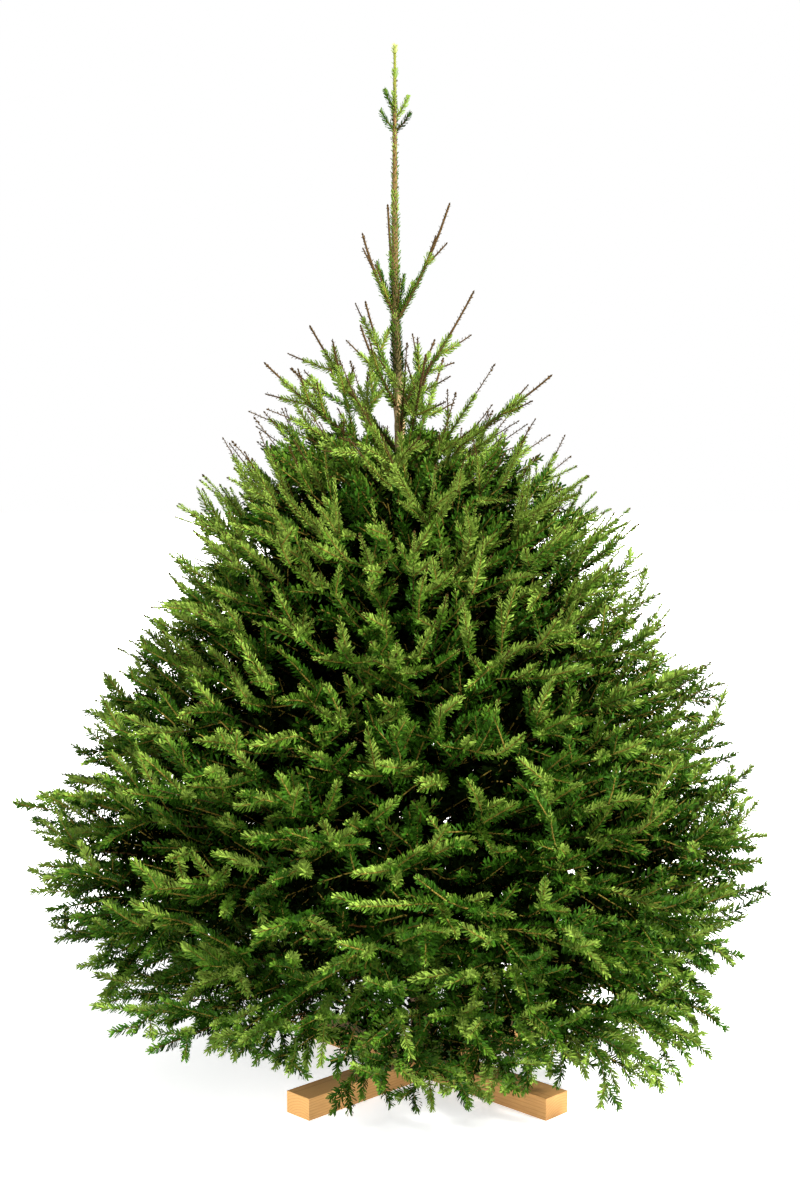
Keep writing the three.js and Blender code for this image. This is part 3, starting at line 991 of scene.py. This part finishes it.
def needle_tints(chosen, owner, share, is_shaded_underside):
    """The tint of every needle: its twig's, lighter at a fresh end and darker on an underside as painted
    shade.
    """
    tints = np.array([TINTS.index(twig.tint) for twig in chosen])[owner]
    ages = np.array([twig.age for twig in chosen])[owner]
    is_fresh_end = (ages == 0) & (share > FRESH_SHARE) & (tints != TINTS.index("fresh"))
    tints = np.where(is_fresh_end, np.array(LIGHTER)[tints], tints)
    return np.where(is_shaded_underside, np.array(UNDERSIDE_SHADE_TINTS)[tints], tints)


def needles_mesh(chosen):
    """The needles of many twigs: each one is a folded kite of two faces."""
    start, bend, end, up, radii = twig_arrays(chosen)
    styles = np.array([NEEDLE_STYLES[twig.needles] for twig in chosen])
    length, width, spacing, lean_foot, lean_tip = styles.T
    line = np.linalg.norm(bend - start, axis=1) + np.linalg.norm(end - bend, axis=1)
    count = np.maximum(LEAST_NEEDLES, np.round(line / spacing)).astype(int)
    owner = np.repeat(np.arange(len(chosen)), count)
    index = np.arange(len(owner)) - np.repeat(np.cumsum(count) - count, count)
    total = len(owner)
    share = ((index + numbers.uniform(*PLACE_SPREAD, total)) / count[owner]) ** TIP_CROWDING

    points, along = bend_points(start[owner], bend[owner], end[owner], share)
    across = unit_rows(np.cross(along, up[owner]))
    above = np.cross(across, along)

    is_round = np.array([twig.needles in ROUND_STYLES for twig in chosen])[owner]
    turn = np.choose(index % len(SECTORS), SECTORS) + numbers.normal(0, SECTOR_SPREAD, total)
    turn = np.where(is_round, index * ROUND_TURN, turn)
    radial = across * np.cos(turn)[:, None] + above * np.sin(turn)[:, None]

    lean = lerp(np.radians(lean_foot)[owner], np.radians(lean_tip)[owner], share ** 2)
    lean = lean + numbers.normal(0, LEAN_SPREAD, total)
    aim = unit_rows(along * np.cos(lean)[:, None] + radial * np.sin(lean)[:, None])

    swell = SWELL_LEAST + SWELL_RISE * np.sin(np.pi * np.minimum(share * SWELL_STRETCH + SWELL_START, 1))
    length = length[owner] * swell * numbers.uniform(*SIZE_SPREAD, total)
    width = width[owner] * numbers.uniform(*SIZE_SPREAD, total)

    flat = unit_rows(along - aim * (along * aim).sum(axis=1, keepdims=True))
    roll = numbers.uniform(-np.pi / 2, np.pi / 2, total)[:, None]
    side = flat * np.cos(roll) + np.cross(aim, flat) * np.sin(roll)

    thick = lerp(radii[owner, 0], radii[owner, 1], share)
    foot = points + radial * (SUNK_FOOT * thick)[:, None]
    reach = aim * length[:, None]
    half = side * (0.5 * width)[:, None]
    fold = np.cross(aim, side) * (FOLD * width)[:, None]
    corners = np.stack((
        foot - half * FOOT_WIDTH,
        foot + reach * EDGE_PLACES[0] + half - fold,
        foot + reach + half * TIP_WIDTH,
        foot + reach * EDGE_PLACES[1] - half - fold,
    ), axis=1).reshape(-1, 3)
    first = 4 * np.arange(total)[:, None]
    triangles = np.concatenate((first + (0, 1, 2), first + (0, 2, 3)), axis=1).reshape(-1, 3)

    # needles that face downwards on a shoot turn one step darker: painted shade
    is_shaded_underside = (radial[:, 2] < UNDERSIDE) & ~is_round
    return corners, triangles, np.repeat(needle_tints(chosen, owner, share, is_shaded_underside), 2)


def tube_triangles(rings, sides):
    """The faces between the rings of a tube."""
    triangles = []
    for ring in range(rings):
        for side in range(sides):
            a = ring * sides + side
            b = ring * sides + (side + 1) % sides
            triangles += [(a, b, b + sides), (a, b + sides, a + sides)]
    return triangles


def directions_round(across, above, sides):
    """The directions of a ring's corners, for one limb or for the rows of many."""
    angles = [2 * math.pi * side / sides for side in range(sides)]
    return [across * math.cos(angle) + above * math.sin(angle) for angle in angles]


def tubes_mesh(chosen, sides, rings):
    """The bark of many twigs: thin open tubes."""
    start, bend, end, up, radii = twig_arrays(chosen)
    corners = []
    for ring in range(rings):
        share = ring / (rings - 1)
        points, along = bend_points(start, bend, end, np.full(len(chosen), share))
        across = unit_rows(np.cross(along, up))
        above = np.cross(across, along)
        radius = lerp(radii[:, 0], radii[:, 1], share)[:, None]
        corners += [points + direction * radius for direction in directions_round(across, above, sides)]
    pattern = np.array(tube_triangles(rings - 1, sides))
    first = (rings * sides * np.arange(len(chosen)))[:, None, None]
    triangles = (first + pattern[None]).reshape(-1, 3)
    barks = np.array([BARKS.index(twig.bark) for twig in chosen])
    return np.stack(corners, axis=1).reshape(-1, 3), triangles, np.repeat(barks, len(pattern))


def buds_mesh():
    """Pointed buds: one at the end of each chosen shoot, and two smaller ones beside it on the largest."""
    points = []
    triangles = []
    for end, heading, size in buds:
        across = heading.orthogonal().normalized()
        places = [(end, heading, BUD_LENGTH * size)]
        for index in range(2 if size > 1 else 0):
            spread = dice.uniform(-SIDE_BUD_SPREAD, SIDE_BUD_SPREAD)
            lean = turned(across, heading, 180 * index + spread)
            place = end - heading * dice.uniform(*SIDE_BUD_PLACES)
            places.append((place, (heading + lean * SIDE_BUD_LEAN).normalized(), SIDE_BUD_LENGTH * size))
        for place, aim, length in places:
            level = aim.orthogonal().normalized()
            first = len(points)
            points.append(place - aim * BUD_SUNK)
            for side in range(BUD_SIDES):
                rim = turned(level, aim, 360 * side / BUD_SIDES) * (BUD_RADIUS * length)
                points.append(place + aim * (BUD_WIDEST * length) + rim)
            points.append(place + aim * length)
            for side in range(BUD_SIDES):
                a = first + 1 + side
                b = first + 1 + (side + 1) % BUD_SIDES
                triangles += [(first, b, a), (a, b, first + BUD_SIDES + 1)]
    return np.array(points), np.array(triangles)


def limb_tube(bough, sides, step, relief):
    """One bough's bark as a tube with uneven rings, closed at its tip."""
    least_rings = 6
    lobe = 0.02
    roughness = 90
    cap = 0.002
    rings = max(least_rings, round(bough.length() / step))
    points = []
    for ring in range(rings + 1):
        t = ring / rings
        place = bough.point(t)
        heading = bough.heading(t)
        across = heading.cross(UP).normalized()
        above = across.cross(heading)
        radius = bough.radius(t)
        for direction in directions_round(across, above, sides):
            uneven = 1 + relief * noise.noise((place + direction * lobe) * roughness)
            points.append(place + direction * radius * uneven)
    points.append(bough.tip + bough.heading(1) * cap)
    triangles = tube_triangles(rings, sides)
    last = rings * sides
    triangles += [(last + i, last + (i + 1) % sides, last + sides) for i in range(sides)]
    return points, triangles


def joined(parts):
    points = []
    triangles = []
    for part_points, part_triangles in parts:
        first = len(points)
        points.extend(part_points)
        triangles.extend((a + first, b + first, c + first) for a, b, c in part_triangles)
    return np.array(points), np.array(triangles)


# ---- materials ----


def srgb(red, green, blue):
    """A linear colour with alpha from sRGB values of 0 to 255."""
    channels = []
    for value in (red, green, blue):
        value /= 255
        channels.append(value / 12.92 if value <= 0.04045 else ((value + 0.055) / 1.055) ** 2.4)
    return (*channels, 1.0)


def new_material(name, colour, roughness, specular=0.5):
    made = bpy.data.materials.new(name)
    made.use_nodes = True
    shader = made.node_tree.nodes["Principled BSDF"]
    shader.inputs["Base Color"].default_value = colour
    shader.inputs["Roughness"].default_value = roughness
    shader.inputs["Specular IOR Level"].default_value = specular
    made.diffuse_color = colour
    return made


def needle_materials():
    return [new_material(f"needles_{name}", srgb(*colour), 0.55, 0.0 if name in MATT_TINTS else 0.06)
            for name, colour in NEEDLE_COLOURS.items()]


def twig_materials():
    return [new_material(f"twig_{name}", srgb(*colour), 0.9, 0.03) for name, colour in BARK_COLOURS.items()]


class Nodes:
    """A new material, and a short way to write its node tree."""

    def __init__(self, name, colour, roughness, specular):
        self.made = new_material(name, colour, roughness, specular)
        self.tree = self.made.node_tree
        self.shader = self.tree.nodes["Principled BSDF"]

    def add(self, kind, inputs=None, **settings):
        node = self.tree.nodes.new(kind)
        for key, value in settings.items():
            setattr(node, key, value)
        for key, value in (inputs or {}).items():
            if isinstance(value, bpy.types.NodeSocket):
                self.tree.links.new(value, node.inputs[key])
            else:
                node.inputs[key].default_value = value
        return node

    def ramp(self, factor, stops):
        node = self.add("ShaderNodeValToRGB", {"Fac": factor})
        elements = node.color_ramp.elements
        while len(elements) < len(stops):
            elements.new(0.5)
        for element, (position, colour) in zip(elements, stops):
            element.position = position
            element.color = colour
        return node.outputs["Color"]

    def place(self):
        return self.add("ShaderNodeTexCoord").outputs["Object"]

    def mapped(self, place, **inputs):
        return self.add("ShaderNodeMapping", {"Vector": place, **inputs}).outputs[0]

    def noise(self, place, **inputs):
        return self.add("ShaderNodeTexNoise", {"Vector": place, **inputs}).outputs["Fac"]

    def multiply(self, share, colour, shade):
        return self.add("ShaderNodeMix", {0: share, 6: colour, 7: shade}, data_type="RGBA",
                        blend_type="MULTIPLY").outputs[2]

    def bump(self, height, strength, distance):
        node = self.add("ShaderNodeBump", {"Height": height, "Strength": strength, "Distance": distance})
        self.tree.links.new(node.outputs["Normal"], self.shader.inputs["Normal"])

    def colour(self, socket):
        self.tree.links.new(socket, self.shader.inputs["Base Color"])


def bark_material():
    """Bark that is grey-brown and flaky at the foot and smooth olive-tan on the leader."""
    tree = Nodes("bark_trunk", srgb(120, 92, 62), 0.82, 0.25)
    place = tree.place()
    height = tree.add("ShaderNodeSeparateXYZ", {"Vector": place}).outputs["Z"]
    share = tree.add("ShaderNodeMath", {0: height, 1: TREE_TOP}, operation="DIVIDE").outputs[0]
    tone = tree.ramp(share, (
        (0.0, srgb(104, 78, 56)),
        (0.55, srgb(146, 122, 86)),
        (0.66, srgb(168, 144, 102)),
        (0.69, srgb(74, 66, 30)),
        (0.80, srgb(98, 76, 38)),
        (0.93, srgb(102, 76, 38)),
        (0.97, srgb(112, 118, 34)),
    ))
    stretched = tree.mapped(place, Scale=(1.0, 1.0, 0.35))
    flakes = tree.noise(stretched, Scale=260.0, Detail=5.0, Roughness=0.65)
    shade = tree.ramp(flakes, ((0.32, srgb(120, 108, 100)), (0.68, srgb(255, 255, 255))))
    tree.colour(tree.multiply(0.75, tone, shade))
    tree.bump(flakes, 0.6, 0.0012)
    return tree.made


def bough_material():
    """Bark of the boughs: reddish brown, darkened as painted shade of the crown's inside, with fine scales.
    """
    tree = Nodes("bark_bough", srgb(76, 56, 30), 0.85, 0.05)
    place = tree.place()
    scales = tree.noise(place, Scale=420.0, Detail=3.0)
    tone = tree.ramp(scales, ((0.3, srgb(34, 26, 14)), (0.7, srgb(80, 60, 32))))
    tree.colour(tone)
    tree.bump(scales, 0.5, 0.0008)
    return tree.made


def timber_material(name, azimuth, light, dark):
    """Sawn softwood: growth rings round a pith outside the beam, with the grain along the beam."""
    tree = Nodes(name, light, 0.62, 0.3)
    place = tree.place()
    along = tree.mapped(place, Rotation=(0, 0, -azimuth))
    drawn = tree.mapped(along, Scale=(0.07, 1.0, 1.0), Location=(0.0, 0.013, 0.036))
    rings = tree.add("ShaderNodeTexWave", {"Vector": drawn, "Scale": 62.0, "Distortion": 2.6,
                                            "Detail": 2.0, "Detail Scale": 0.9},
                      wave_type="RINGS", rings_direction="X", wave_profile="SAW").outputs["Fac"]
    fibres = tree.noise(tree.mapped(along, Scale=(0.05, 1.0, 1.0)), Scale=900.0, Detail=3.0)
    grain = tree.ramp(rings, ((0.0, light), (0.72, light), (1.0, dark)))
    fibre_shade = tree.ramp(fibres, ((0.3, srgb(214, 200, 184)), (0.7, srgb(255, 255, 255))))
    tree.colour(tree.multiply(0.55, grain, fibre_shade))
    tree.bump(fibres, 0.25, 0.0005)
    return tree.made


# ---- the pieces ----


def build_trunk():
    """The trunk with its bark's relief, down to the end of its spigot in the cross."""
    sides = 20
    step = 0.006
    rough_radius = 0.012
    plate_relief = 0.0016
    plate_scale = 2.2
    plate_octaves = 3
    plates_around = 70
    plates_along = 26
    fine_relief = 0.0004
    fine_around = 3
    fine_along = 160
    spigot_share = 0.6
    shoulder = float(TRUNK_HEIGHTS[0])
    spigot_bottom = float(vertices_of("trunk")[:, 2].min())
    spigot_radius = spigot_share * TRUNK_RADII[0]
    directions = [outward(2 * math.pi * i / sides) for i in range(sides)]
    points = []
    for z in (spigot_bottom, shoulder):
        points += [UP * z + direction * spigot_radius for direction in directions]
    for z in np.arange(shoulder, TREE_TOP, step):
        z = float(z)
        centre = trunk_point(z)
        radius = trunk_radius(z)
        rough = min(1.0, radius / rough_radius)
        for direction in directions:
            x, y, _ = direction
            seat = Vector((x * radius * plates_around, y * radius * plates_around, z * plates_along))
            plates = noise.turbulence(seat * plate_scale, plate_octaves, False) - 0.5
            fine = noise.noise(Vector((x * fine_around, y * fine_around, z * fine_along)))
            relief = plate_relief * rough * plates + fine_relief * fine
            points.append(centre + direction * (radius + relief))
    rings = len(points) // sides
    last = (rings - 1) * sides
    points += [trunk_point(TREE_TOP), UP * spigot_bottom]
    triangles = tube_triangles(rings - 1, sides)
    for i in range(sides):
        following = (i + 1) % sides
        triangles.append((last + i, last + following, last + sides))
        triangles.append((following, i, last + sides + 1))
    piece = add_mesh("trunk_bark", np.array(points), np.array(triangles), [bark_material()])
    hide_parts("trunk")


def build_boughs(boughs, limbs):
    """The bark of all boughs. The first boughs are those that the frame's whorls hold."""
    whorls = [name for tier in TIERS for name in named(f"bough_{tier}_")]
    thick = [limb_tube(bough, *WHORL_BARK) for bough in boughs[:len(whorls)]]
    thin = [limb_tube(bough, *FILL_BARK) for bough in boughs[len(whorls):]]
    finish = bough_material()
    crown = add_mesh("boughs_crown", *joined(thick + thin), [finish])
    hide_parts(*whorls)
    spire = add_mesh("boughs_spire", *joined([limb_tube(limb, *SPIRE_BARK) for limb in limbs]), [finish])
    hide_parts(*named("bough_spire_"))


def zone_nodes(zone):
    if zone in TIERS:
        return named(f"foliage_{zone}_")
    return named("foliage_spire_") + named("shoot_") + ["leader_tuft"]


def tier_tops(tier):
    """Distances from the trunk, and the heights of a tier's top at them."""
    points = np.concatenate([vertices_of(name) for name in named(f"foliage_{tier}_")])
    reach = np.array([from_trunk(p)[0] for p in points])
    edges = np.linspace(0.0, reach.max(), TOP_BANDS + 1)
    distances = []
    tops = []
    for low, high in zip(edges, edges[1:]):
        inside = points[(reach >= low) & (reach <= high)]
        if len(inside):
            distances.append((low + high) / 2)
            tops.append(inside[:, 2].max())
    return distances, tops


TIER_TOPS = {tier: tier_tops(tier) for tier in TIERS}


def zone_of(twig):
    """The lowest tier whose top is above a twig's middle, or the spire."""
    reach = from_trunk(twig.bend)[0]
    return next((tier for tier in TIERS if twig.bend.z < np.interp(reach, *TIER_TOPS[tier])), "spire")


def build_foliage():
    """Needles and twigs, joined by zone into pieces within the limit of triangles."""
    needle_finish = needle_materials()
    twig_finish = twig_materials()
    zones = {}
    for twig in twigs:
        zones.setdefault(zone_of(twig), []).append(twig)
    for zone in (*TIERS, "spire"):
        members = zones[zone]
        points, triangles, tints = needles_mesh(members)
        slices = math.ceil(len(triangles) / MOST_TRIANGLES)
        per_slice = 2 * math.ceil(len(triangles) / slices / 2)
        for index in range(slices):
            begin = index * per_slice
            end = min(begin + per_slice, len(triangles))
            part = triangles[begin:end] - 2 * begin
            name = f"needles_{zone}_{index + 1}"
            piece = add_mesh(name, points[2 * begin:2 * end], part, needle_finish, tints[begin:end])
            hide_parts(*zone_nodes(zone))
        for part, sides, rings in (("bent", 3, 3), ("plain", 3, 2)):
            is_plain = part == "plain"
            wooden = [twig for twig in members if twig.bark and (twig.needles in PLAIN_STYLES) == is_plain]
            if not wooden:
                continue
            points, triangles, barks = tubes_mesh(wooden, sides, rings)
            piece = add_mesh(f"twigs_{zone}_{part}", points, triangles, twig_finish, barks)
    points, triangles = buds_mesh()
    piece = add_mesh("buds", points, triangles, [new_material("buds", srgb(46, 33, 12), 0.8, 0.05)])


def finish_stand():
    """The beams keep their shape from the frame, and get worn edges and sawn timber."""
    tones = {
        # the grain tones of each beam; the lower beam's are a little lighter, as painted light against the
        # crown's shadow on its top
        "stand_beam_lower": (math.radians(45), srgb(210, 162, 98), srgb(184, 132, 70)),
        "stand_beam_upper": (math.radians(135), srgb(200, 152, 92), srgb(174, 124, 66)),
    }
    for name, (azimuth, light, dark) in tones.items():
        beam = NODES[name]
        beam.data.materials.clear()
        beam.data.materials.append(timber_material(f"timber_{name}", azimuth, light, dark))
        edge = beam.modifiers.new("worn_edges", "BEVEL")
        edge.width = 0.0022
        edge.segments = 2
        edge.angle_limit = math.radians(50)


# ---- camera, floor and light ----


def add_camera():
    lens = bpy.data.cameras.new("camera")
    lens.sensor_width = 36.0
    lens.lens = 51.0
    camera = add_object("camera", lens)
    camera.location = (-0.0493, -3.2197, 1.1678)
    camera.rotation_euler = (math.radians(90 - 4.46), 0, 0)
    bpy.context.scene.camera = camera


def add_floor():
    size = 40.0
    corners = [(-size, -size, 0), (size, -size, 0), (size, size, 0), (-size, size, 0)]
    mesh = bpy.data.meshes.new("floor")
    mesh.from_pydata(corners, [], [(0, 1, 2, 3)])
    finish = new_material("floor", (0.93, 0.93, 0.93, 1), 0.9, 0.1)
    shader = finish.node_tree.nodes["Principled BSDF"]
    shader.inputs["Emission Color"].default_value = (1, 1, 1, 1)
    shader.inputs["Emission Strength"].default_value = 0.56
    mesh.materials.append(finish)
    floor = add_object("floor", mesh)
    floor.location.z = -0.0005


def add_lamp(kind, name, place, target=(0, 0, 0.8), **settings):
    """A lamp at a place, aimed at a target and out of the camera's sight."""
    lamp = bpy.data.lights.new(name, kind)
    for key, value in settings.items():
        setattr(lamp, key, value)
    light = add_object(name, lamp)
    light.location = place
    light.rotation_euler = (Vector(target) - Vector(place)).to_track_quat("-Z", "Y").to_euler()
    light.visible_camera = False


def add_lights():
    world = bpy.data.worlds.new("studio")
    world.use_nodes = True
    background = world.node_tree.nodes["Background"]
    background.inputs["Color"].default_value = (1, 1, 1, 1)
    background.inputs["Strength"].default_value = 1.0
    bpy.context.scene.world = world
    # two distant lamps, and a soft spot low at the left that lights the tops of the beams
    add_lamp("SUN", "key_right", (2.9, -2.2, 4.0), energy=14.5, angle=math.radians(12),
             color=(1.0, 0.98, 0.93))
    add_lamp("SUN", "fill_left", (-2.8, -2.4, 3.0), energy=0.3, angle=math.radians(25),
             color=(0.97, 0.99, 1.0))
    add_lamp("SPOT", "stand_left", (-1.1, -1.3, 0.65), (-0.16, -0.22, 0.05), energy=75.0,
             spot_size=math.radians(26), spot_blend=1.0, shadow_soft_size=0.2)


# ---- the whole tree ----


def main():
    boughs = fill_boughs(whorl_boughs())
    for bough in boughs:
        grow_bough(bough, Habit(bough.tip.z))
    fill_gaps()
    fill_inside()
    hang_sprigs()
    limbs = open_whorls()
    leader_shoots()
    build_trunk()
    build_boughs(boughs, limbs)
    build_foliage()
    finish_stand()
    add_camera()
    add_floor()
    add_lights()
    bpy.context.scene.view_settings.view_transform = "Standard"


main()
